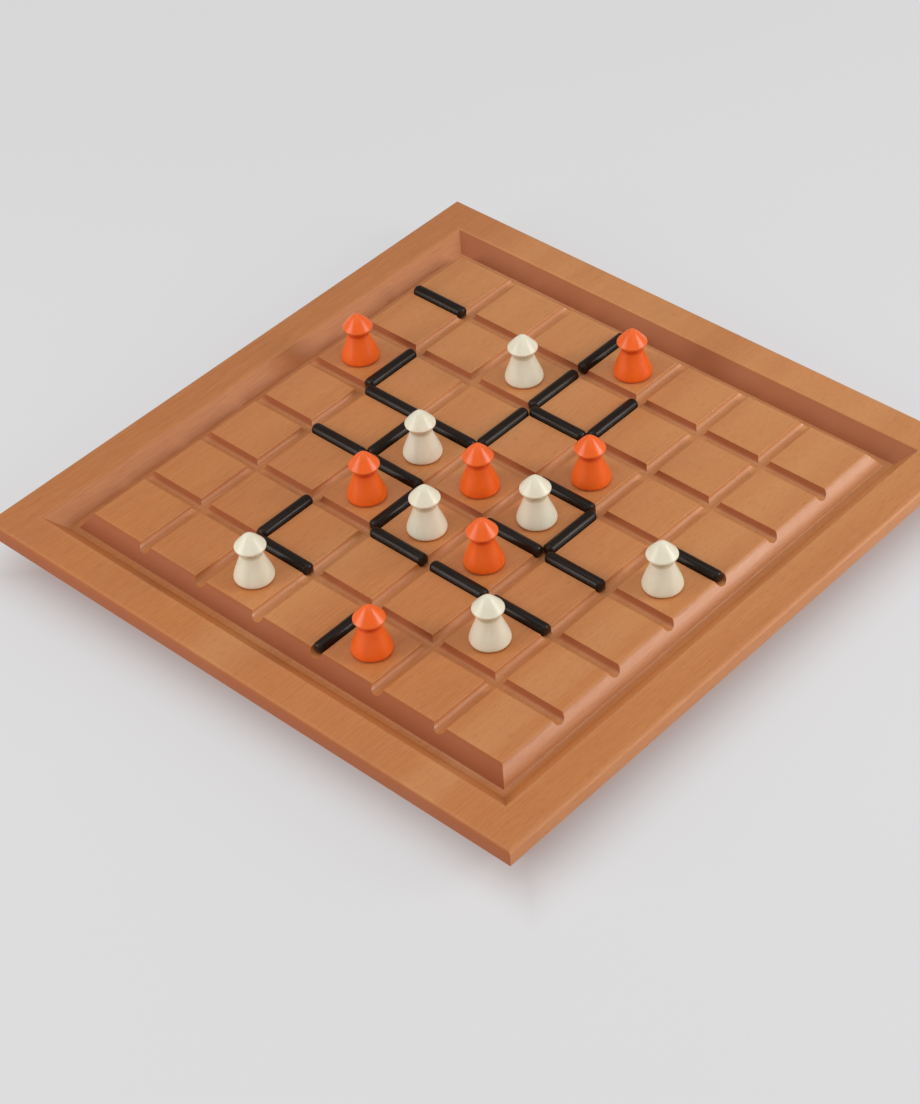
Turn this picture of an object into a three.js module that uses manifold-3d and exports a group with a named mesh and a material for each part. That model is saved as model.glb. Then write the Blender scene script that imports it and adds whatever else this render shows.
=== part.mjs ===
// Strategy board game: a routed beech board with a 7 x 7 field, two sets of turned pawns and a set of
// round sticks that lie in the grooves between the cells. Millimetres, +Z up. The origin is at the middle of
// the board's underside. X and Y run along the grooves, and the wood's grain runs along Y.

import * as THREE from 'three';
import * as BufferGeometryUtils from 'three/addons/utils/BufferGeometryUtils.js';
import Module from 'manifold-3d';

// ---- driving dimensions ----
const PITCH = 30; // groove to groove
const CELLS = 7; // cells along each side of the field
const BOARD_HALF = 133; // half of the outer width
const BOARD_THICKNESS = 18;
const EDGE_THICKNESS = 6.5; // outer edge above the undercut
const UNDERCUT_RUN = 14; // how far the underside bevel reaches in
const TOP_ROUND = 1.8; // rounding of the top outer edge
const FIELD_HALF = 103.5; // half of the raised field's width at its top
const RIM_INNER_HALF = 117.8; // half of the width between the rim's inner edges
const TROUGH_DEPTH = 6.8;
const FIELD_BEVEL_RUN = 4.9; // sideways run of the bevel round the field
const TROUGH_FLOOR = 2.4; // flat strip at the bottom of the trough
const GROOVE_RADIUS = 2.75;
const GROOVE_STEPS = 6; // chords round the half circle of a groove
const STICK_RADIUS = 2.5;
const STICK_LENGTH = 26.8;
const STICK_END_ROUND = 1.7;
const STICK_SIDES = 12;
const STICK_SINK = 0.1; // the stick's axis below the field's top
const PAWN_SIDES = 16;
const REST_GAP = 0.1; // a pawn's foot above the cell
const CUT_CLEAR = 2; // how far a cutter stands above the wood

// ---- pieces in play ----
// columns run along +X from the -X side of the field, rows run along -Y from the +Y side
// pawns: [column, row] of the cell, and how far the pawn stands from the cell's middle along X and Y
const ORANGE_CELLS = [
  [3, 0, 2.5, -2.5], [0, 2, 0, -1.5], [4, 2, 1.5, -2], [3, 3, 1.5, -1.5], [2, 4, 1, -1.5],
  [4, 4, 1, -2], [4, 6, 0.5, -1],
];
const CREAM_CELLS = [
  [2, 1, 1, -1.5], [2, 3, 1, -0.5], [4, 3, 0.5, -2], [6, 3, 0, -1], [3, 4, 2, -1.5],
  [5, 5, 0, -1], [2, 6, 0, -0.5],
];
// sticks along X: [column, groove], sticks along Y: [groove, row], each with a slip along its groove
const STICKS_ALONG_X = [
  [0, 1, 0.4], [3, 2, 0], [1, 3, 0], [2, 3, 0], [4, 3, 0], [6, 3, 0.4], [1, 4, 0], [2, 4, 0],
  [4, 4, 0], [5, 4, 0.2], [3, 5, 0], [4, 5, 0.3], [5, 5, -0.3], [2, 6, 0.2],
];
const STICKS_ALONG_Y = [
  [3, 0, 0.3], [3, 1, 0], [4, 1, -0.3], [1, 2, -0.2], [3, 2, 0], [2, 3, 0], [5, 3, 0],
  [3, 4, 0], [2, 5, -0.4], [4, 6, 0.3],
];

// ---- materials ----
const BEECH = new THREE.MeshStandardMaterial({ color: 0xb9784a, roughness: 0.55, metalness: 0 });
const ORANGE_LACQUER = new THREE.MeshStandardMaterial({ color: 0xe65a1e, roughness: 0.35, metalness: 0 });
const CREAM_LACQUER = new THREE.MeshStandardMaterial({ color: 0xe6dcc0, roughness: 0.35, metalness: 0 });
const BLACK_STAIN = new THREE.MeshStandardMaterial({ color: 0x231c18, roughness: 0.4, metalness: 0 });

// ---- joining and cutting ----
const wasm = await Module();
wasm.setup();

function toSolid(geometry) {
  const bare = geometry.index ? geometry.toNonIndexed() : geometry.clone();
  bare.deleteAttribute('normal');
  bare.deleteAttribute('uv');
  const merged = BufferGeometryUtils.mergeVertices(bare, 1e-4);
  return new wasm.Manifold(new wasm.Mesh({
    numProp: 3,
    vertProperties: new Float32Array(merged.attributes.position.array),
    triVerts: new Uint32Array(merged.index.array),
  }));
}

function toGeometry(solid) {
  const mesh = solid.getMesh();
  const geometry = new THREE.BufferGeometry();
  geometry.setAttribute('position', new THREE.BufferAttribute(mesh.vertProperties, 3));
  geometry.setIndex(new THREE.BufferAttribute(mesh.triVerts, 1));
  geometry.computeVertexNormals();
  return geometry;
}

// ---- square rings: a lathe with four sides, mitred at the corners ----
function squareLathe(profile) {
  const points = profile.map(([half, z]) => new THREE.Vector2(half * Math.SQRT2, z));
  const geometry = new THREE.LatheGeometry(points, 4, Math.PI / 4);
  geometry.rotateX(Math.PI / 2);
  return geometry;
}

function boardBlank() {
  const cornerCut = TOP_ROUND * (1 - Math.SQRT1_2);
  return squareLathe([
    [0, 0],
    [BOARD_HALF - UNDERCUT_RUN, 0],
    [BOARD_HALF, BOARD_THICKNESS - EDGE_THICKNESS],
    [BOARD_HALF, BOARD_THICKNESS - TOP_ROUND],
    [BOARD_HALF - cornerCut, BOARD_THICKNESS - cornerCut],
    [BOARD_HALF - TOP_ROUND, BOARD_THICKNESS],
    [0, BOARD_THICKNESS],
  ]);
}

function troughCutter() {
  const floor = BOARD_THICKNESS - TROUGH_DEPTH;
  const above = BOARD_THICKNESS + CUT_CLEAR;
  const floorInner = FIELD_HALF + FIELD_BEVEL_RUN;
  return squareLathe([
    [FIELD_HALF, above],
    [FIELD_HALF, BOARD_THICKNESS],
    [floorInner, floor],
    [floorInner + TROUGH_FLOOR, floor],
    [RIM_INNER_HALF, BOARD_THICKNESS],
    [RIM_INNER_HALF, above],
    [FIELD_HALF, above],
  ]);
}

// a bar with a half-round underside, along Y, its axis in the top face of the board
function grooveCutter() {
  const half = FIELD_HALF + GROOVE_RADIUS + CUT_CLEAR;
  const section = new THREE.Shape();
  section.moveTo(GROOVE_RADIUS, CUT_CLEAR);
  section.lineTo(-GROOVE_RADIUS, CUT_CLEAR);
  for (let step = 0; step <= GROOVE_STEPS; step += 1) {
    const angle = Math.PI + (step * Math.PI) / GROOVE_STEPS;
    section.lineTo(GROOVE_RADIUS * Math.cos(angle), GROOVE_RADIUS * Math.sin(angle));
  }
  section.closePath();
  const geometry = new THREE.ExtrudeGeometry(section, { depth: 2 * half, steps: 1, bevelEnabled: false });
  geometry.translate(0, 0, -half);
  geometry.rotateX(Math.PI / 2);
  geometry.translate(0, 0, BOARD_THICKNESS);
  return geometry;
}

function gridLine(index) {
  return (index - CELLS / 2) * PITCH;
}

function boardGeometry() {
  let cutter = toSolid(troughCutter());
  for (let line = 1; line < CELLS; line += 1) {
    const alongY = grooveCutter().translate(gridLine(line), 0, 0);
    const alongX = grooveCutter().rotateZ(Math.PI / 2).translate(0, gridLine(line), 0);
    cutter = cutter.add(toSolid(alongY)).add(toSolid(alongX));
  }
  return toGeometry(toSolid(boardBlank()).subtract(cutter));
}

// ---- turned pawn: rounded foot, bell body, pinched neck, head with a brim and a pointed cap ----
function pawnGeometry() {
  const profile = [
    [0, 0],
    [6.6, 0],
    [7.7, 1.2],
    [7.5, 2.8],
    [6.6, 5.3],
    [5.4, 8.2],
    [4.2, 11.7],
    [3.6, 12.4],
    [5.7, 14.6],
    [6, 15.4],
    [5.6, 16.4],
    [3.3, 19],
    [1, 21.1],
    [0, 21.5],
  ];
  const points = profile.map(([radius, z]) => new THREE.Vector2(radius, z));
  const geometry = new THREE.LatheGeometry(points, PAWN_SIDES);
  geometry.rotateX(Math.PI / 2);
  return geometry;
}

// ---- round stick with rounded ends, its middle at the origin, along X ----
function stickGeometry() {
  const half = STICK_LENGTH / 2;
  const flat = STICK_RADIUS - STICK_END_ROUND;
  const shoulder = half - STICK_END_ROUND;
  const rounding = STICK_END_ROUND * Math.SQRT1_2;
  const points = [
    new THREE.Vector2(0, -half),
    new THREE.Vector2(flat, -half),
    new THREE.Vector2(flat + rounding, -shoulder - rounding),
    new THREE.Vector2(STICK_RADIUS, -shoulder),
    new THREE.Vector2(STICK_RADIUS, shoulder),
    new THREE.Vector2(flat + rounding, shoulder + rounding),
    new THREE.Vector2(flat, half),
    new THREE.Vector2(0, half),
  ];
  const geometry = new THREE.LatheGeometry(points, STICK_SIDES);
  geometry.rotateZ(-Math.PI / 2);
  return geometry;
}

// ---- assembly ----
const object = new THREE.Group();

function addMesh(name, geometry, material) {
  const mesh = new THREE.Mesh(geometry, material);
  mesh.name = name;
  object.add(mesh);
  return mesh;
}

function addPawns(prefix, cells, material) {
  cells.forEach(([column, row, alongX, alongY], index) => {
    const pawn = addMesh(`${prefix}_${index + 1}`, pawnGeometry(), material);
    const x = gridLine(column + 0.5) + alongX;
    const y = -gridLine(row + 0.5) + alongY;
    pawn.position.set(x, y, BOARD_THICKNESS + REST_GAP);
  });
}

function addSticks() {
  const places = [
    ...STICKS_ALONG_X.map(([column, row, slip]) => ({
      x: gridLine(column + 0.5) + slip,
      y: -gridLine(row),
      turn: 0,
    })),
    ...STICKS_ALONG_Y.map(([column, row, slip]) => ({
      x: gridLine(column),
      y: -gridLine(row + 0.5) - slip,
      turn: Math.PI / 2,
    })),
  ];
  places.forEach(({ x, y, turn }, index) => {
    const stick = addMesh(`stick_${String(index + 1).padStart(2, '0')}`, stickGeometry(), BLACK_STAIN);
    stick.position.set(x, y, BOARD_THICKNESS - STICK_SINK);
    stick.rotation.z = turn;
  });
}

addMesh('board', boardGeometry(), BEECH);
addPawns('orange_pawn', ORANGE_CELLS, ORANGE_LACQUER);
addPawns('cream_pawn', CREAM_CELLS, CREAM_LACQUER);
addSticks();

export default object;
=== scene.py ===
import math

import bmesh
import bpy
from bpy.props import FloatProperty, FloatVectorProperty, IntProperty, PointerProperty
from mathutils import Matrix, Vector
from mathutils.geometry import interpolate_bezier


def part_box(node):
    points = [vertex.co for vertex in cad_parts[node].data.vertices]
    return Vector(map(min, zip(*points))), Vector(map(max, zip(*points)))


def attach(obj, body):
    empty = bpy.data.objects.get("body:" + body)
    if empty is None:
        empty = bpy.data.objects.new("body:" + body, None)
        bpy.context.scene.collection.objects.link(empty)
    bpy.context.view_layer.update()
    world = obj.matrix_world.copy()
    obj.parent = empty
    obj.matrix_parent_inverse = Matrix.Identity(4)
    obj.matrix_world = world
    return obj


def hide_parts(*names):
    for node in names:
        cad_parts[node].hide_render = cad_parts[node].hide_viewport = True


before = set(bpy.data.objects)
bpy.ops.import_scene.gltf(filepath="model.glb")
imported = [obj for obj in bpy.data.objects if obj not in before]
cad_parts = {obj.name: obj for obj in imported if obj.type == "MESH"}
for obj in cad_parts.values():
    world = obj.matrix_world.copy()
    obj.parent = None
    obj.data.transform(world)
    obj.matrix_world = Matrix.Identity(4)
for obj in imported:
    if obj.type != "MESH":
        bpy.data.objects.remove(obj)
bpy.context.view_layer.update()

bl_info = {
    "name": "Pawns and Sticks Board Game",
    "version": (1, 0, 0),
    "blender": (4, 5, 0),
    "location": "View3D > Sidebar > Board Game",
    "description": "Makes a routed beech board with lacquered pawns and black sticks, on a plain stage",
    "category": "Object",
}

BOARD_LOW, BOARD_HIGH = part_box("board")
PAWN_LOW, PAWN_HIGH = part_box("orange_pawn_1")
STICK_LOW, STICK_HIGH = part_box("stick_01")
MM = 0.001
SAME_POINT = 0.01 * MM  # two points nearer than this count as one
SMOOTH_UP_TO = math.radians(35)  # a sharper edge than this is shaded as an edge
OWN_PLACE = "own_place"  # attribute: where a point lies in its own piece, with the grain or the axis along Y
PIECE_SPACING = 0.1  # how far apart in the wood two neighbouring pieces are cut
CUTTER_CLEAR = 2 * MM  # how far the groove cutter stands above the board
STAVE_WANDER = 0.02  # how far a stave's edge wanders with the bands of the wood
PALE_STAVES = [  # the paler staves of the board: middle along X, half width
    (-14 * MM, 19 * MM),
    (90 * MM, 12 * MM),
]
DARK_STAVE_AND_SHADE = (-85 * MM, -125 * MM)  # where the darker stave starts along X, and where it is full; it is also painted shade towards -X
SOFT_BOXES = [  # name, azimuth from the front towards +X, elevation, distance, width, radiance, tint
    ("overhead_soft_box", 20, 85, 1.6, 1.7, 1.03, (1.0, 1.0, 1.0)),
    ("key_soft_box", 123, 23, 1.1, 0.5, 7.0, (1.0, 0.99, 0.96)),
    ("fill_soft_box", -30, 22, 1.2, 0.7, 3.9, (1.0, 0.99, 0.98)),
]
SURROUNDINGS = 0.32  # brightness of the even light from all round
SURROUNDINGS_COLOUR = (0.97, 0.98, 1.0, 1.0)
FLOOR_GLOW = 0.48  # light that the floor gives off itself, away from the board
SHADE_FROM = -24 * MM  # where the board's painted shade on the glowing floor starts to fade, under the board
SHADE_TO = 13.2 * MM  # where that shade ends, outside the board's edge
SHADE_SHIFT = 8 * MM  # how far the shade lies towards +X
SHADE_SPREAD = 0.03  # how fast the shade of the -Y side widens away from the +X side


def length(name, description, default):
    """A length in metres that a user can change."""
    return FloatProperty(name=name, description=description, default=default, min=0.0, unit="LENGTH")


def colour(name, description, default):
    """A colour that a user can change, with its alpha."""
    return FloatVectorProperty(name=name, description=description, default=(*default, 1.0),
                               subtype="COLOR", size=4, min=0.0, max=1.0)


def angle(name, description, degrees):
    """An angle that a user can change."""
    return FloatProperty(name=name, description=description, default=math.radians(degrees), unit="ROTATION")


# Sizes and colours


class BoardSettings(bpy.types.PropertyGroup):
    """Sizes and colours of the routed board."""

    half: length("Half width", "From the middle of the board to its outer edge", BOARD_HIGH.x)
    thickness: length("Thickness", "From the floor to the top of the rim and the field", BOARD_HIGH.z)
    edge_thickness: length("Edge thickness", "Height of the outer edge above the undercut", 6.5 * MM)
    undercut_run: length("Undercut run", "How far the underside slopes in", 14 * MM)
    rim_inner_half: length("Rim inside", "From the middle to the inner edge of the rim", 117.8 * MM)
    field_half: length("Field half width", "From the middle to the edge of the raised field", 103.5 * MM)
    trough_depth: length("Trough depth", "Depth of the trough round the field", 6.8 * MM)
    field_bevel_run: length("Field slope run", "How far the field's side slopes out", 4.9 * MM)
    trough_floor: length("Trough floor", "Width of the flat bottom of the trough", 2.4 * MM)
    pitch: length("Groove pitch", "From one groove to the next", 30 * MM)
    groove_radius: length("Groove radius", "Radius of the half-round grooves", 2.75 * MM)
    top_round: length("Top rounding", "Rounding of the board's top outer edge", 1.8 * MM)
    lower_arris: length("Lower arris", "Rounding of the board's lower edges", 0.8 * MM)
    corner_round: length("Corner rounding", "Rounding of the board's corners, seen from above", 1.5 * MM)
    rim_arris: length("Rim arris", "Rounding of the rim's inner edge", 0.55 * MM)
    field_arris: length("Field arris", "Rounding of the field's edge", 0.45 * MM)
    trough_round: length("Trough rounding", "Rounding left by the cutter in the trough's corners", 0.6 * MM)
    groove_arris: length("Groove arris", "Rounding of the groove's edges", 0.3 * MM)
    cells: IntProperty(name="Cells", description="Cells along one side of the field", default=7, min=2)
    wood: colour("Beech", "Oiled beech along the grain", (0.56, 0.185, 0.042))
    # Painted light: the beech is blended towards this paler colour towards +Y, the side the key light comes
    # from.
    faded_wood: colour("Faded beech", "Beech that light has faded, towards +Y", (0.65, 0.266, 0.087))
    # Also laid on as the darker stave towards -X, which is partly painted shade.
    dark_wood: colour("Dark beech", "Late wood between the paler rings", (0.50, 0.158, 0.040))
    pale_wood: colour("Pale beech", "The paler bands of the wood", (0.66, 0.287, 0.098))
    fleck: colour("Fleck", "Ray flecks in the beech", (0.38, 0.13, 0.042))
    # Darker end grain; where it is laid fully, on faces that turn to -Y, it is also painted shade.
    end_grain: colour("End grain", "Beech cut across the grain, which takes more oil", (0.36, 0.082, 0.016))


class PawnSettings(bpy.types.PropertyGroup):
    """Sizes and colours of the turned pawns."""

    foot_radius: length("Foot radius", "Radius of the flat that the pawn stands on", 6.6 * MM)
    skirt_radius: length("Skirt radius", "Largest radius, just above the foot", 7.7 * MM)
    skirt_height: length("Skirt height", "Height of the largest radius", 1.25 * MM)
    neck_radius: length("Neck radius", "Radius in the cut under the head", 3.7 * MM)
    neck_height: length("Neck height", "Height of the cut under the head", 12.35 * MM)
    brim_radius: length("Brim radius", "Radius of the head's widest ring", 6.0 * MM)
    brim_height: length("Brim height", "Height of the middle of the brim", 15.35 * MM)
    brim_round: length("Brim rounding", "Radius of the brim's rounded edge", 0.75 * MM)
    tip_width: length("Tip width", "How blunt the cap's tip is", 1.3 * MM)
    height: length("Height", "Height of the whole pawn", PAWN_HIGH.z - PAWN_LOW.z)
    turn_steps: IntProperty(name="Steps", description="Flats round one turn", default=72, min=12)
    orange: colour("Orange lacquer", "Colour of the orange pawns", (0.98, 0.142, 0.009))
    # The darker orange gives the mottling, and painted shade in the neck.
    deep_orange: colour("Deep orange", "Orange lacquer where it has run thick", (0.72, 0.076, 0.004))
    cream: colour("Cream lacquer", "Colour of the cream pawns", (0.88, 0.83, 0.65))
    # The darker cream gives the mottling, and painted shade in the neck.
    deep_cream: colour("Deep cream", "Cream lacquer where it has run thick", (0.64, 0.54, 0.35))
    bare_wood: colour("Bare wood", "Wood that shows where the lacquer is worn through", (0.62, 0.33, 0.15))


class StickSettings(bpy.types.PropertyGroup):
    """Sizes and colours of the black sticks."""

    radius: length("Radius", "Radius of the stick", 2.5 * MM)
    end_round: length("End rounding", "Rounding of the stick's ends", 1.7 * MM)
    turn_steps: IntProperty(name="Steps", description="Flats round one stick", default=40, min=8)
    stain: colour("Black stain", "Colour of the stained wood", (0.012, 0.0065, 0.0038))
    worn_stain: colour("Worn stain", "Stain that handling has rubbed thin", (0.045, 0.024, 0.014))


class StageSettings(bpy.types.PropertyGroup):
    """The plain floor, the soft lights and the camera."""

    floor: colour("Floor", "Colour of the plain floor", (0.27, 0.27, 0.274))
    glow: colour("Glow", "Colour of the light that the floor gives off", (1.0, 0.985, 0.99))
    # Painted shade of the board on the floor's glow.
    shade: colour("Shade", "The same light where the board shades it", (0.52, 0.41, 0.39))
    floor_half: length("Floor half width", "From the middle of the floor to its edge", 6.0)
    azimuth: angle("Azimuth", "Turn of the camera round the board, from the front", 45.47)
    elevation: angle("Elevation", "Height of the camera above the horizon", 41.87)
    roll: angle("Roll", "Tilt of the camera about its own axis", -4.72)
    distance: length("Distance", "From the camera to the field, along its sight line", 1.0603)
    slide: length("Slide", "How far the camera stands to the left of the middle", 7.52 * MM)
    drop: length("Drop", "How far the camera stands below the middle", 25.93 * MM)
    lens: FloatProperty(name="Lens", description="Focal length on a 36 mm frame", default=91.32, min=1.0)


class GameSettings(bpy.types.PropertyGroup):
    """All the settings of the board game."""

    board: PointerProperty(type=BoardSettings)
    pawn: PointerProperty(type=PawnSettings)
    stick: PointerProperty(type=StickSettings)
    stage: PointerProperty(type=StageSettings)


# Shaping


def arc(centre, radius, start, end, steps):
    """Points (across, up) round part of a circle, with the angles in degrees."""
    angles = [math.radians(start + (end - start) * step / steps) for step in range(steps + 1)]
    return [(centre[0] + radius * math.cos(a), centre[1] + radius * math.sin(a)) for a in angles]


def curve(start, start_pull, end_pull, end, steps):
    """Points (across, up) on a curve from start to end, pulled away from a straight line at each end."""
    handles = (start, (start[0] + start_pull[0], start[1] + start_pull[1]),
               (end[0] + end_pull[0], end[1] + end_pull[1]), end)
    points = interpolate_bezier(*[Vector((*handle, 0)) for handle in handles], steps)
    return [(point.x, point.y) for point in points]


def turned(outline, steps):
    """A bmesh that turns an outline of (radius, height) points about Z, from the axis back to the axis."""
    bm = bmesh.new()
    verts = [bm.verts.new((radius, 0.0, height)) for radius, height in outline]
    edges = [bm.edges.new(pair) for pair in zip(verts, verts[1:])]
    bmesh.ops.spin(bm, geom=verts + edges, cent=(0, 0, 0), axis=(0, 0, 1), angle=math.tau,
                   steps=steps, use_merge=True, use_duplicate=False)
    bmesh.ops.remove_doubles(bm, verts=bm.verts, dist=0.001 * MM)
    bmesh.ops.recalc_face_normals(bm, faces=bm.faces)
    return bm


def square_loop(bm, half, height):
    """The four edges of the square ring at that half width and height."""
    def on_ring(vert):
        across = max(abs(vert.co.x), abs(vert.co.y))
        return abs(across - half) < SAME_POINT and abs(vert.co.z - height) < SAME_POINT

    return [edge for edge in bm.edges if all(on_ring(vert) for vert in edge.verts)]


def corner_edges(bm, reach):
    """The mitred edges at the board's four corners, from that half width outwards."""
    def on_mitre(vert):
        across, along = abs(vert.co.x), abs(vert.co.y)
        return abs(across - along) < SAME_POINT and across > reach - SAME_POINT and vert.co.z > MM

    return [edge for edge in bm.edges if all(on_mitre(vert) for vert in edge.verts)]


def round_over(bm, edges, width, segments=3):
    """Rounds edges over."""
    bmesh.ops.bevel(bm, geom=edges, offset=width, offset_type="OFFSET", segments=segments,
                    profile=0.5, affect="EDGES", clamp_overlap=True, material=-1)


def mark_own_place(bm, turn, offset):
    """Keeps each point's place in its own piece as an attribute, turned so that the grain lies along Y."""
    layer = bm.verts.layers.float_vector.new(OWN_PLACE)
    for vert in bm.verts:
        vert[layer] = turn @ vert.co + offset


def mesh_object(name, bm, material=None):
    """Makes a bmesh an object with smooth shading that breaks at sharp edges."""
    mesh = bpy.data.meshes.new(name)
    for face in bm.faces:
        face.smooth = True
    bm.to_mesh(mesh)
    bm.free()
    mesh.set_sharp_from_angle(angle=SMOOTH_UP_TO)
    if material:
        mesh.materials.append(material)
    obj = bpy.data.objects.new(name, mesh)
    bpy.context.scene.collection.objects.link(obj)
    return obj


def stands_for(obj, node):
    """Puts a finished piece in the place of a CAD node, on the node's own body."""
    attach(obj, node)
    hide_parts(node)


def nodes_named(start):
    """The CAD nodes whose names begin with start, in order."""
    return sorted(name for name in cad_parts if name.startswith(start))


# Board


def board_blank(sizes):
    """The board with its trough, rim and undercut, before the grooves are cut."""
    floor_height = sizes.thickness - sizes.trough_depth
    foot_of_field = sizes.field_half + sizes.field_bevel_run
    foot_of_rim = foot_of_field + sizes.trough_floor
    band_bottom = sizes.thickness - sizes.edge_thickness
    top_round_at = sizes.half - sizes.top_round
    section = [
        (0.0, 0.0),
        (sizes.half - sizes.undercut_run, 0.0),
        (sizes.half, band_bottom),
        *arc((top_round_at, sizes.thickness - sizes.top_round), sizes.top_round, 0, 90, 6),
        (sizes.rim_inner_half, sizes.thickness),
        (foot_of_rim, floor_height),
        (foot_of_field, floor_height),
        (sizes.field_half, sizes.thickness),
        (0.0, sizes.thickness),
    ]
    to_corner = math.sqrt(2.0)
    bm = turned([(half * to_corner, height) for half, height in section], 4)
    bmesh.ops.rotate(bm, verts=bm.verts, cent=(0, 0, 0), matrix=Matrix.Rotation(math.pi / 4, 3, "Z"))
    bmesh.ops.dissolve_limit(bm, angle_limit=math.radians(1), verts=bm.verts, edges=bm.edges)
    round_over(bm, square_loop(bm, sizes.half, band_bottom), sizes.lower_arris)
    round_over(bm, square_loop(bm, sizes.half - sizes.undercut_run, 0.0), sizes.lower_arris)
    round_over(bm, corner_edges(bm, top_round_at), sizes.corner_round, 4)
    round_over(bm, square_loop(bm, sizes.rim_inner_half, sizes.thickness), sizes.rim_arris)
    round_over(bm, square_loop(bm, sizes.field_half, sizes.thickness), sizes.field_arris)
    round_over(bm, square_loop(bm, foot_of_field, floor_height), sizes.trough_round)
    round_over(bm, square_loop(bm, foot_of_rim, floor_height), sizes.trough_round)
    bmesh.ops.remove_doubles(bm, verts=bm.verts, dist=SAME_POINT)
    bmesh.ops.dissolve_degenerate(bm, dist=SAME_POINT, edges=bm.edges)
    return bm


def groove_cutter(sizes):
    """Round-bottomed bars along Y, one for each groove, whose flared tops round the grooves' edges."""
    arris, radius = sizes.groove_arris, sizes.groove_radius
    start = math.degrees(math.asin(arris / radius))
    right_arris = arc((radius + arris, -arris), arris, 90, 180, 3)
    left_arris = arc((-radius - arris, -arris), arris, 0, 90, 3)
    bottom = arc((0.0, 0.0), radius, -start, start - 180, 16)
    section = [(radius + arris, CUTTER_CLEAR), *right_arris, *bottom[1:-1], *left_arris,
               (-radius - arris, CUTTER_CLEAR)]
    reach = sizes.field_half + sizes.field_bevel_run
    bm = bmesh.new()
    verts = [bm.verts.new((across, -reach, sizes.thickness + up)) for across, up in section]
    face = bm.faces.new(verts)
    swept = bmesh.ops.extrude_face_region(bm, geom=[face])["geom"]
    far_end = [item for item in swept if isinstance(item, bmesh.types.BMVert)]
    bmesh.ops.translate(bm, verts=far_end, vec=(0, 2 * reach, 0))
    bar = bm.verts[:] + bm.edges[:] + bm.faces[:]
    for line in range(1, sizes.cells - 1):
        copy = bmesh.ops.duplicate(bm, geom=bar)["geom"]
        copied = [item for item in copy if isinstance(item, bmesh.types.BMVert)]
        bmesh.ops.translate(bm, verts=copied, vec=(line * sizes.pitch, 0, 0))
    first_line = -(sizes.cells / 2 - 1) * sizes.pitch
    bmesh.ops.translate(bm, verts=bm.verts, vec=(first_line, 0, 0))
    bmesh.ops.recalc_face_normals(bm, faces=bm.faces)
    return bm


def cut_away(obj, cutter):
    """Cuts the cutter's shape out of an object's mesh and removes the cutter."""
    modifier = obj.modifiers.new("cut", "BOOLEAN")
    modifier.operation = "DIFFERENCE"
    modifier.solver = "EXACT"
    modifier.object = cutter
    evaluated = obj.evaluated_get(bpy.context.evaluated_depsgraph_get())
    mesh = bpy.data.meshes.new_from_object(evaluated)
    obj.modifiers.clear()
    obj.data = mesh
    bpy.data.objects.remove(cutter)


def make_board(sizes):
    """Makes the routed board with its grid of grooves."""
    board = mesh_object("routed_board", board_blank(sizes))
    for turn in (0.0, math.pi / 2):
        bars = groove_cutter(sizes)
        bmesh.ops.rotate(bars, verts=bars.verts, cent=(0, 0, 0), matrix=Matrix.Rotation(turn, 3, "Z"))
        cut_away(board, mesh_object("groove_bars", bars))
    board.data.materials.clear()
    board.data.materials.append(beech_material(sizes))
    board.data.set_sharp_from_angle(angle=SMOOTH_UP_TO)
    shading = board.modifiers.new("flat faces stay flat", "WEIGHTED_NORMAL")
    shading.keep_sharp = True
    stands_for(board, "board")
    return board


# Pawns


def pawn_outline(sizes):
    """The pawn's outline from the middle of its foot to its tip."""
    skirt = sizes.skirt_height
    foot_round = sizes.skirt_radius - sizes.foot_radius
    flank = curve((sizes.skirt_radius - 0.05 * MM, skirt + 0.5 * MM), (-0.55 * MM, 2.7 * MM),
                  (0.85 * MM, -3.5 * MM), (sizes.neck_radius + 0.4 * MM, sizes.neck_height - 0.25 * MM), 18)
    brim_centre = (sizes.brim_radius - sizes.brim_round, sizes.brim_height)
    brim = arc(brim_centre, sizes.brim_round, -50, 45, 7)
    cap = curve(brim[-1], (-1.6 * MM, 2.0 * MM), (sizes.tip_width, -0.05 * MM), (0.0, sizes.height), 14)
    return [
        (0.0, 0.0),
        *arc((sizes.foot_radius, skirt), foot_round, -80, 0, 6),
        *flank,
        (sizes.neck_radius, sizes.neck_height),
        (sizes.neck_radius + 0.35 * MM, sizes.neck_height + 0.4 * MM),
        *brim[:-1],
        *cap,
    ]


def make_pawns(start, material, sizes):
    """Makes one turned pawn on each CAD pawn whose name begins with start."""
    upright_to_y = Matrix.Rotation(-math.pi / 2, 3, "X")
    for number, node in enumerate(nodes_named(start)):
        bm = turned(pawn_outline(sizes), sizes.turn_steps)
        mark_own_place(bm, upright_to_y, Vector((number * PIECE_SPACING, 0, 0)))
        low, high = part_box(node)
        foot = Vector(((low.x + high.x) / 2, (low.y + high.y) / 2, low.z))
        bmesh.ops.translate(bm, verts=bm.verts, vec=foot)
        pawn = mesh_object("turned_" + node, bm, material)
        stands_for(pawn, node)


# Sticks


def stick_outline(sizes, stick_length):
    """Half of a stick's section, from one end of its axis to the other."""
    half, rounding = stick_length / 2, sizes.end_round
    across = sizes.radius - rounding
    return [
        (0.0, -half),
        *arc((across, rounding - half), rounding, -90, 0, 8),
        *arc((across, half - rounding), rounding, 0, 90, 8),
        (0.0, half),
    ]


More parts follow.
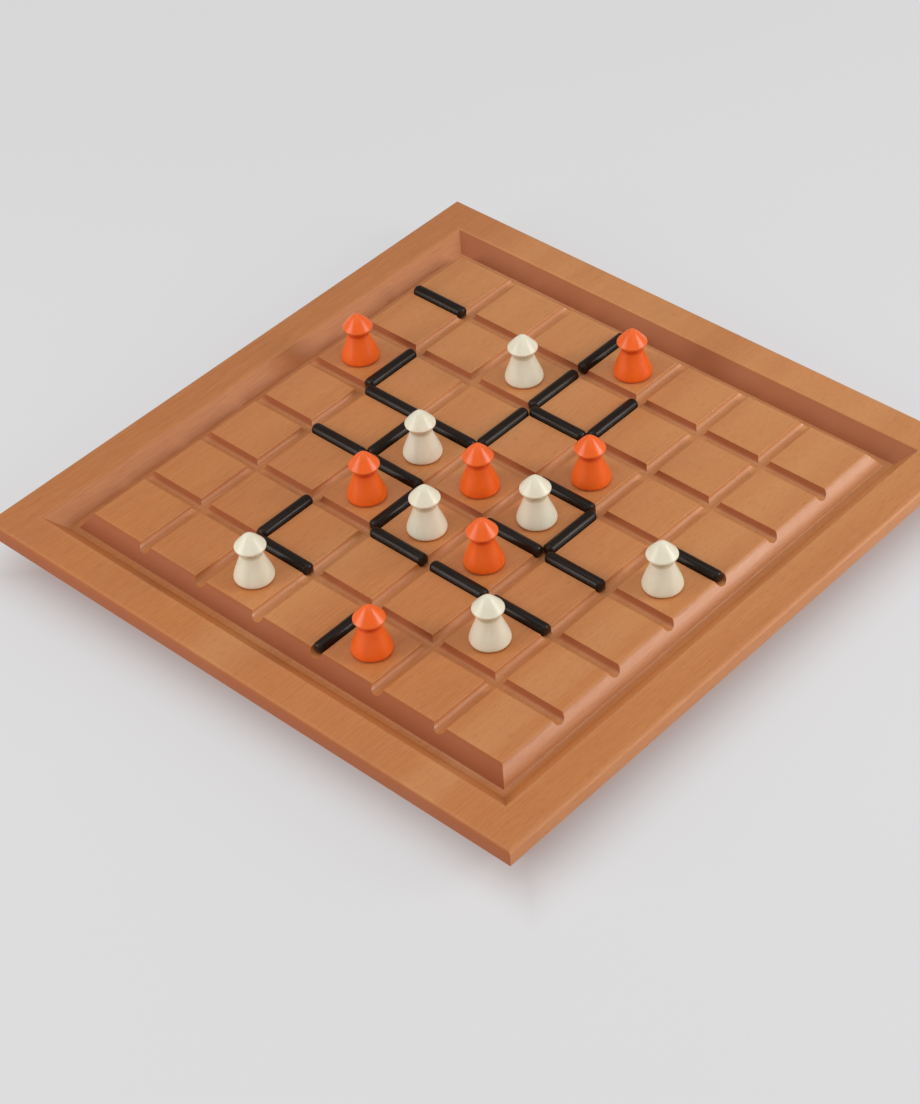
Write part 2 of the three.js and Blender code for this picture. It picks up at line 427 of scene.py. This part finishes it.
def make_sticks(sizes):
    """Makes one rounded stick on each CAD stick, along the groove it lies in."""
    material = stain_material(sizes)
    upright_to_y = Matrix.Rotation(-math.pi / 2, 3, "X")
    for number, node in enumerate(nodes_named("stick_")):
        low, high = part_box(node)
        size = high - low
        bm = turned(stick_outline(sizes, max(size.x, size.y)), sizes.turn_steps)
        mark_own_place(bm, upright_to_y, Vector((number * PIECE_SPACING, 0, 0)))
        axis, turn = ("Y", math.pi / 2) if size.x > size.y else ("X", -math.pi / 2)
        bmesh.ops.rotate(bm, verts=bm.verts, cent=(0, 0, 0), matrix=Matrix.Rotation(turn, 3, axis))
        bmesh.ops.translate(bm, verts=bm.verts, vec=(low + high) / 2)
        stick = mesh_object("rounded_" + node, bm, material)
        stands_for(stick, node)


# Shader effects that several materials share


def add_node(tree, kind, inputs=None, **settings):
    """Adds a node, sets it up, and sets or links its inputs."""
    node = tree.nodes.new(kind)
    node.location = (190 * (len(tree.nodes) % 12), -260 * (len(tree.nodes) // 12))
    for name, value in settings.items():
        setattr(node, name, value)
    for socket, value in (inputs or {}).items():
        if isinstance(value, bpy.types.NodeSocket):
            tree.links.new(value, node.inputs[socket])
        else:
            node.inputs[socket].default_value = value
    return node


def maths(tree, operation, *values):
    """The result of one Math node."""
    return add_node(tree, "ShaderNodeMath", dict(enumerate(values)), operation=operation).outputs[0]


def fade(tree, value, start, end, low=0.0, high=1.0):
    """A smooth step from low to high as value goes from start to end."""
    inputs = {"Value": value, "From Min": start, "From Max": end, "To Min": low, "To Max": high}
    return add_node(tree, "ShaderNodeMapRange", inputs, interpolation_type="SMOOTHSTEP").outputs[0]


def blend_colours(tree, factor, first, second):
    """First where factor is 0, second where it is 1."""
    node = add_node(tree, "ShaderNodeMix", {"Factor": factor}, data_type="RGBA")
    for socket, value in ((node.inputs[6], first), (node.inputs[7], second)):
        if isinstance(value, bpy.types.NodeSocket):
            tree.links.new(value, socket)
        else:
            socket.default_value = value
    return node.outputs[2]


def lay_over(tree, base, top, mask, strength):
    """Lays the top colour over the base where the mask is 1, no stronger than strength."""
    return blend_colours(tree, maths(tree, "MULTIPLY", mask, strength), base, tuple(top))


def roughened(tree, roughness, *marks):
    """A roughness that grows by the amount of each (mask, amount)."""
    for mask, amount in marks:
        roughness = maths(tree, "MULTIPLY_ADD", mask, amount, roughness)
    return roughness


def noise(tree, place, scale, detail=2.0, roughness=0.5):
    """A noise value round 0.5 at a place."""
    inputs = {"Vector": place, "Scale": scale, "Detail": detail, "Roughness": roughness}
    return add_node(tree, "ShaderNodeTexNoise", inputs).outputs["Fac"]


def new_group(name, inputs, outputs):
    """A shader group with those sockets, and its input and output nodes."""
    tree = bpy.data.node_groups.new(name, "ShaderNodeTree")
    for socket, kind, default in inputs:
        made = tree.interface.new_socket(name=socket, in_out="INPUT", socket_type=kind)
        if default is not None:
            made.default_value = default
    for socket, kind in outputs:
        tree.interface.new_socket(name=socket, in_out="OUTPUT", socket_type=kind)
    return tree, tree.nodes.new("NodeGroupInput"), tree.nodes.new("NodeGroupOutput")


def use_group(tree, build, inputs):
    """Places the group that build makes, which is built once, and gives it its inputs."""
    group = bpy.data.node_groups.get(build.__name__) or build()
    return add_node(tree, "ShaderNodeGroup", inputs, node_tree=group).outputs


def wood_grain():
    """Bands, fibres and flecks of wood whose grain lies along Y."""
    tree, given, result = new_group(
        "wood_grain",
        [("Position", "NodeSocketVector", None), ("Band Width", "NodeSocketFloat", 0.02),
         ("Fibre Width", "NodeSocketFloat", 0.0006), ("Fleck Width", "NodeSocketFloat", 0.0005)],
        [("Bands", "NodeSocketFloat"), ("Fibres", "NodeSocketFloat"), ("Flecks", "NodeSocketFloat")])

    def stretched(width, times):
        """The position in units of width across the grain, and of so many widths along it."""
        along = maths(tree, "MULTIPLY", width, times)
        unit = add_node(tree, "ShaderNodeCombineXYZ", {"X": width, "Y": along, "Z": width}).outputs[0]
        inputs = {0: given.outputs["Position"], 1: unit}
        return add_node(tree, "ShaderNodeVectorMath", inputs, operation="DIVIDE").outputs[0]

    bands = noise(tree, stretched(given.outputs["Band Width"], 12.0), 1.0, 3.0, 0.55)
    fibres = noise(tree, stretched(given.outputs["Fibre Width"], 26.0), 1.0, 2.0, 0.6)
    flecks = noise(tree, stretched(given.outputs["Fleck Width"], 9.0), 1.0, 2.0, 0.6)
    tree.links.new(bands, result.inputs["Bands"])
    tree.links.new(fibres, result.inputs["Fibres"])
    tree.links.new(fade(tree, flecks, 0.50, 0.74), result.inputs["Flecks"])
    return tree


def edge_wear():
    """A patchy mask that is 1 on an edge and fades out over the reach."""
    tree, given, result = new_group(
        "edge_wear",
        [("Position", "NodeSocketVector", None), ("Distance", "NodeSocketFloat", 0.0),
         ("Reach", "NodeSocketFloat", 0.001), ("Patchiness", "NodeSocketFloat", 0.5)],
        [("Mask", "NodeSocketFloat")])
    patches = noise(tree, given.outputs["Position"], 420.0, 3.0, 0.6)
    uneven = maths(tree, "MULTIPLY", maths(tree, "SUBTRACT", patches, 0.5), given.outputs["Patchiness"])
    near = maths(tree, "DIVIDE", given.outputs["Distance"], given.outputs["Reach"])
    level = maths(tree, "ADD", maths(tree, "SUBTRACT", 1.0, near), uneven)
    tree.links.new(fade(tree, level, 0.0, 1.0), result.inputs["Mask"])
    return tree


def handling():
    """Faint smudges and rubbed patches that change the gloss."""
    tree, given, result = new_group(
        "handling",
        [("Position", "NodeSocketVector", None), ("Scale", "NodeSocketFloat", 60.0)],
        [("Smudges", "NodeSocketFloat")])
    smudges = noise(tree, given.outputs["Position"], given.outputs["Scale"], 3.0, 0.55)
    tree.links.new(fade(tree, smudges, 0.35, 0.70), result.inputs["Smudges"])
    return tree


def new_material(name, **constants):
    """A material with its Principled BSDF, whose constants are set on the shader's own sockets."""
    material = bpy.data.materials.new(name)
    material.use_nodes = True
    shader = material.node_tree.nodes["Principled BSDF"]
    for socket, value in constants.items():
        shader.inputs[socket.replace("_", " ")].default_value = value
    return material, material.node_tree, shader


def own_place(tree):
    """Where a point lies in its own piece."""
    return add_node(tree, "ShaderNodeAttribute", attribute_name=OWN_PLACE).outputs["Vector"]


def bump(tree, shader, height, distance, strength=1.0):
    """Feeds a height in 0..1 to the shader's normal, with its depth in metres."""
    inputs = {"Height": height, "Distance": distance, "Strength": strength}
    tree.links.new(add_node(tree, "ShaderNodeBump", inputs).outputs[0], shader.inputs["Normal"])


# Materials


def blend_staves(tree, base, across, bands, sizes):
    """Lays the paler and darker staves of the board over its base colour; the darker stave is also painted
    shade towards -X.
    """
    wander = maths(tree, "MULTIPLY", maths(tree, "SUBTRACT", bands, 0.5), STAVE_WANDER)
    pale = 0.0
    for middle, half_width in PALE_STAVES:
        away = maths(tree, "ABSOLUTE", maths(tree, "SUBTRACT", across, middle))
        pale = maths(tree, "MAXIMUM", pale, fade(tree, maths(tree, "ADD", away, wander), half_width, 0.0))
    base = lay_over(tree, base, sizes.pale_wood, pale, 0.55)
    return lay_over(tree, base, sizes.dark_wood, fade(tree, across, *DARK_STAVE_AND_SHADE), 0.85)


def cut_across(tree, normal):
    """A mask of faces cut across the grain, full on those that face -Y and weaker on those that face +Y;
    that difference is painted shade on the faces turned from the key light.
    """
    facing = add_node(tree, "ShaderNodeSeparateXYZ", {0: normal}).outputs["Y"]
    return maths(tree, "ADD", fade(tree, facing, -0.25, -0.80), fade(tree, facing, 0.25, 0.80, 0.0, 0.35))


def nearest_edge(tree, ring, depth, sizes):
    """How far a point is from the nearest of the board's square top edges, with its depth added."""
    nearest = 1.0
    for edge in (sizes.half - 0.6 * MM, sizes.rim_inner_half, sizes.field_half):
        away = maths(tree, "ABSOLUTE", maths(tree, "SUBTRACT", ring, edge))
        nearest = maths(tree, "MINIMUM", nearest, away)
    return maths(tree, "ADD", nearest, maths(tree, "MAXIMUM", depth, 0.0))


def beech_material(sizes):
    """Oiled beech: staves, bands and fibres along Y, ray flecks, dark end grain, and worn edges; with
    painted light that pales it towards +Y, and painted shade on end grain that faces -Y and in the darker
    stave towards -X.
    """
    material, tree, shader = new_material("oiled_beech", IOR=1.5, Specular_IOR_Level=0.65)
    source = add_node(tree, "ShaderNodeTexCoord").outputs
    place = source["Object"]
    split = add_node(tree, "ShaderNodeSeparateXYZ", {0: place}).outputs
    ring = maths(tree, "MAXIMUM", maths(tree, "ABSOLUTE", split["X"]), maths(tree, "ABSOLUTE", split["Y"]))
    depth = maths(tree, "SUBTRACT", sizes.thickness, split["Z"])
    grain = use_group(tree, wood_grain, {"Position": place, "Band Width": 17 * MM,
                                         "Fibre Width": 0.55 * MM, "Fleck Width": 0.42 * MM})

    # Painted light: paler towards +Y, the side the key light comes from.
    lightened = blend_colours(tree, fade(tree, split["Y"], -sizes.half, sizes.half), tuple(sizes.wood),
                          tuple(sizes.faded_wood))
    tone = fade(tree, grain["Bands"], 0.20, 0.70)
    base = blend_colours(tree, maths(tree, "MULTIPLY_ADD", tone, 0.6, 0.4), tuple(sizes.dark_wood), lightened)
    base = blend_staves(tree, base, split["X"], grain["Bands"], sizes)
    base = lay_over(tree, base, sizes.pale_wood, fade(tree, grain["Fibres"], 0.30, 0.70), 0.36)
    base = lay_over(tree, base, sizes.fleck, grain["Flecks"], 0.42)
    # End grain, and painted shade on the faces that turn to -Y, away from the key light.
    end_cut_and_shade = cut_across(tree, source["Normal"])
    base = lay_over(tree, base, sizes.end_grain, end_cut_and_shade, 0.85)
    worn = use_group(tree, edge_wear, {"Position": place, "Distance": nearest_edge(tree, ring, depth, sizes),
                                       "Reach": 2.2 * MM, "Patchiness": 0.9})["Mask"]
    base = lay_over(tree, base, sizes.pale_wood, worn, 0.1)
    tree.links.new(base, shader.inputs["Base Color"])

    smudges = use_group(tree, handling, {"Position": place, "Scale": 22.0})["Smudges"]
    in_field = fade(tree, ring, sizes.field_half, sizes.field_half - MM)
    in_groove = maths(tree, "MULTIPLY", in_field, fade(tree, depth, 0.2 * MM, 0.8 * MM))
    rough = roughened(tree, 0.32, (smudges, 0.07), (end_cut_and_shade, 0.36), (worn, 0.25), (in_groove, 0.12))
    tree.links.new(rough, shader.inputs["Roughness"])
    height = maths(tree, "MULTIPLY_ADD", grain["Flecks"], -0.5, grain["Fibres"])
    bump(tree, shader, height, 0.03 * MM, 0.6)
    return material


def lacquer_material(name, fresh, mottle_and_neck_shade, sizes):
    """Satin lacquer over turned wood: turning rings, painted shade in the neck under the head, and worn
    edges.
    """
    material, tree, shader = new_material(name, IOR=1.5, Specular_IOR_Level=0.35, Coat_Roughness=0.2,
                                          Coat_IOR=1.45)
    place = own_place(tree)
    along = add_node(tree, "ShaderNodeSeparateXYZ", {0: place}).outputs["Y"]
    grain = use_group(tree, wood_grain, {"Position": place, "Band Width": 4 * MM,
                                         "Fibre Width": 0.5 * MM, "Fleck Width": 0.4 * MM})
    to_neck = maths(tree, "ABSOLUTE", maths(tree, "SUBTRACT", along, sizes.neck_height))
    # Painted shade: a ring of the darker colour in the neck, under the head.
    neck_shade = fade(tree, to_neck, 1.3 * MM, 0.1 * MM)
    mottled = maths(tree, "MULTIPLY", fade(tree, grain["Bands"], 0.35, 0.75), 0.22)
    base = blend_colours(tree, maths(tree, "MAXIMUM", mottled, neck_shade), tuple(fresh), tuple(mottle_and_neck_shade))
    to_brim = maths(tree, "ABSOLUTE", maths(tree, "SUBTRACT", along, sizes.brim_height))
    to_edge = maths(tree, "MINIMUM", to_brim, maths(tree, "ABSOLUTE", along))
    worn = use_group(tree, edge_wear, {"Position": place, "Distance": to_edge,
                                       "Reach": 0.35 * MM, "Patchiness": 2.2})["Mask"]
    base = lay_over(tree, base, sizes.bare_wood, worn, 0.18)
    tree.links.new(base, shader.inputs["Base Color"])

    smudges = use_group(tree, handling, {"Position": place, "Scale": 160.0})["Smudges"]
    tree.links.new(roughened(tree, 0.34, (smudges, 0.10), (worn, 0.2)), shader.inputs["Roughness"])
    tree.links.new(maths(tree, "MULTIPLY_ADD", worn, -0.25, 0.3), shader.inputs["Coat Weight"])
    rings = add_node(tree, "ShaderNodeTexWave", {"Vector": place, "Scale": 900.0, "Distortion": 0.6,
                                                 "Detail": 1.0}, bands_direction="Y").outputs["Fac"]
    bump(tree, shader, maths(tree, "MULTIPLY_ADD", grain["Fibres"], 0.4, rings), 0.006 * MM, 0.7)
    return material


def stain_material(sizes):
    """Black-stained hardwood with faint grain and rubbed ends."""
    material, tree, shader = new_material("black_stain", IOR=1.5, Specular_IOR_Level=0.2)
    place = own_place(tree)
    along = add_node(tree, "ShaderNodeSeparateXYZ", {0: place}).outputs["Y"]
    grain = use_group(tree, wood_grain, {"Position": place, "Band Width": 2.5 * MM,
                                         "Fibre Width": 0.3 * MM, "Fleck Width": 0.4 * MM})
    fibre = fade(tree, grain["Fibres"], 0.35, 0.75)
    base = lay_over(tree, tuple(sizes.stain), sizes.worn_stain, fibre, 0.25)
    half_length = (STICK_HIGH.x - STICK_LOW.x) / 2
    to_end = maths(tree, "SUBTRACT", half_length, maths(tree, "ABSOLUTE", along))
    worn = use_group(tree, edge_wear, {"Position": place, "Distance": to_end,
                                       "Reach": 1.4 * MM, "Patchiness": 1.6})["Mask"]
    base = lay_over(tree, base, sizes.worn_stain, worn, 0.5)
    tree.links.new(base, shader.inputs["Base Color"])

    smudges = use_group(tree, handling, {"Position": place, "Scale": 120.0})["Smudges"]
    tree.links.new(roughened(tree, 0.24, (smudges, 0.10)), shader.inputs["Roughness"])
    height = maths(tree, "MULTIPLY_ADD", grain["Flecks"], -0.6, grain["Fibres"])
    bump(tree, shader, height, 0.02 * MM, 0.7)
    return material


def floor_material(sizes):
    """A plain, matt, pale floor that gives off a little light of its own, with a painted shade of the board
    where it gives off less.
    """
    material, tree, shader = new_material("pale_floor", Roughness=0.9, Specular_IOR_Level=0.1,
                                          Emission_Strength=FLOOR_GLOW)
    place = add_node(tree, "ShaderNodeTexCoord").outputs["Object"]
    smudges = use_group(tree, handling, {"Position": place, "Scale": 3.0})["Smudges"]
    smudged = (*[value * 0.98 for value in sizes.floor[:3]], 1.0)
    base = blend_colours(tree, smudges, tuple(sizes.floor), smudged)
    tree.links.new(base, shader.inputs["Base Color"])

    # Painted shade: the floor's glow is dimmed round the board, more on its +X and -Y sides.
    split = add_node(tree, "ShaderNodeSeparateXYZ", {0: place}).outputs
    across = maths(tree, "ABSOLUTE", maths(tree, "SUBTRACT", split["X"], SHADE_SHIFT))
    widening = maths(tree, "MULTIPLY", maths(tree, "SUBTRACT", BOARD_HIGH.x, split["X"]), SHADE_SPREAD)
    front = maths(tree, "SUBTRACT", maths(tree, "MULTIPLY", split["Y"], -1.0), widening)
    along = maths(tree, "MAXIMUM", split["Y"], front)
    outside = maths(tree, "SUBTRACT", maths(tree, "MAXIMUM", across, along), BOARD_HIGH.x)
    lit = fade(tree, outside, SHADE_FROM, SHADE_TO)
    glow = blend_colours(tree, lit, tuple(sizes.shade), tuple(sizes.glow))
    tree.links.new(glow, shader.inputs["Emission Color"])
    return material


# Stage


def soft_light(name, azimuth, elevation, distance, width, radiance, tint):
    """A square soft box that faces the middle of the board and shines with that radiance."""
    turn, rise = math.radians(azimuth), math.radians(elevation)
    toward = Vector((math.sin(turn) * math.cos(rise), -math.cos(turn) * math.cos(rise), math.sin(rise)))
    light = bpy.data.lights.new(name, "AREA")
    light.shape = "SQUARE"
    light.size = width
    light.energy = radiance * math.pi * width * width
    light.color = tint
    obj = bpy.data.objects.new(name, light)
    obj.location = distance * toward
    obj.rotation_euler = toward.to_track_quat("Z", "Y").to_euler()
    bpy.context.scene.collection.objects.link(obj)


def make_camera(sizes):
    """Puts the camera on its sight line, slid and rolled as the settings say."""
    azimuth, elevation, roll = sizes.azimuth, sizes.elevation, sizes.roll
    back = Vector((math.sin(azimuth) * math.cos(elevation), -math.cos(azimuth) * math.cos(elevation),
                   math.sin(elevation)))
    right = Vector((math.cos(azimuth), math.sin(azimuth), 0.0))
    up = back.cross(right)
    rolled_right = math.cos(roll) * right + math.sin(roll) * up
    rolled_up = math.cos(roll) * up - math.sin(roll) * right
    camera = bpy.data.cameras.new("camera")
    camera.lens = sizes.lens
    camera.sensor_width = 36.0
    camera.clip_end = 50.0
    obj = bpy.data.objects.new("camera", camera)
    bpy.context.scene.collection.objects.link(obj)
    field_middle = Vector((0.0, 0.0, BOARD_HIGH.z))
    place = field_middle + sizes.distance * back - sizes.slide * rolled_right - sizes.drop * rolled_up
    turn = Matrix((rolled_right, rolled_up, back)).transposed().to_4x4()
    obj.matrix_world = Matrix.Translation(place) @ turn
    bpy.context.scene.camera = obj


def make_stage(sizes):
    """Makes the floor, the soft lights, the even surroundings and the camera."""
    bm = bmesh.new()
    bmesh.ops.create_grid(bm, x_segments=1, y_segments=1, size=sizes.floor_half)
    floor = mesh_object("floor", bm, floor_material(sizes))
    for soft_box in SOFT_BOXES:
        soft_light(*soft_box)
    world = bpy.data.worlds.new("even_surroundings")
    world.use_nodes = True
    background = world.node_tree.nodes["Background"]
    background.inputs["Color"].default_value = SURROUNDINGS_COLOUR
    background.inputs["Strength"].default_value = SURROUNDINGS
    bpy.context.scene.world = world
    bpy.context.scene.view_settings.view_transform = "Standard"
    make_camera(sizes)


# Operators, panel and registration


class BOARDGAME_OT_board(bpy.types.Operator):
    """Make the routed beech board"""

    bl_idname = "board_game.board"
    bl_label = "Board"

    def execute(self, context):
        make_board(context.scene.board_game.board)
        return {"FINISHED"}


class BOARDGAME_OT_orange_pawns(bpy.types.Operator):
    """Make the orange pawns"""

    bl_idname = "board_game.orange_pawns"
    bl_label = "Orange Pawns"

    def execute(self, context):
        sizes = context.scene.board_game.pawn
        material = lacquer_material("orange_lacquer", sizes.orange, sizes.deep_orange, sizes)
        make_pawns("orange_pawn_", material, sizes)
        return {"FINISHED"}


class BOARDGAME_OT_cream_pawns(bpy.types.Operator):
    """Make the cream pawns"""

    bl_idname = "board_game.cream_pawns"
    bl_label = "Cream Pawns"

    def execute(self, context):
        sizes = context.scene.board_game.pawn
        material = lacquer_material("cream_lacquer", sizes.cream, sizes.deep_cream, sizes)
        make_pawns("cream_pawn_", material, sizes)
        return {"FINISHED"}


class BOARDGAME_OT_sticks(bpy.types.Operator):
    """Make the black sticks"""

    bl_idname = "board_game.sticks"
    bl_label = "Sticks"

    def execute(self, context):
        make_sticks(context.scene.board_game.stick)
        return {"FINISHED"}


class BOARDGAME_OT_stage(bpy.types.Operator):
    """Make the floor, the lights and the camera"""

    bl_idname = "board_game.stage"
    bl_label = "Stage"

    def execute(self, context):
        make_stage(context.scene.board_game.stage)
        return {"FINISHED"}


OPERATORS = (BOARDGAME_OT_stage, BOARDGAME_OT_board, BOARDGAME_OT_orange_pawns,
             BOARDGAME_OT_cream_pawns, BOARDGAME_OT_sticks)


class BOARDGAME_PT_panel(bpy.types.Panel):
    """Sidebar panel that lists the pieces and their settings"""

    bl_idname = "BOARDGAME_PT_panel"
    bl_label = "Board Game"
    bl_space_type = "VIEW_3D"
    bl_region_type = "UI"
    bl_category = "Board Game"

    def draw(self, context):
        for operator in OPERATORS:
            self.layout.operator(operator.bl_idname)
        settings = context.scene.board_game
        for group in (settings.board, settings.pawn, settings.stick, settings.stage):
            box = self.layout.box()
            for name in group.bl_rna.properties.keys():
                if name not in {"rna_type", "name"}:
                    box.prop(group, name)


CLASSES = (BoardSettings, PawnSettings, StickSettings, StageSettings, GameSettings, *OPERATORS,
           BOARDGAME_PT_panel)


def register():
    for cls in CLASSES:
        bpy.utils.register_class(cls)
    bpy.types.Scene.board_game = PointerProperty(type=GameSettings)


def unregister():
    del bpy.types.Scene.board_game
    for cls in reversed(CLASSES):
        bpy.utils.unregister_class(cls)


def main():
    """Makes everything in order."""
    register()
    bpy.ops.board_game.stage()
    bpy.ops.board_game.board()
    bpy.ops.board_game.orange_pawns()
    bpy.ops.board_game.cream_pawns()
    bpy.ops.board_game.sticks()


if __name__ == "__main__":
    main()
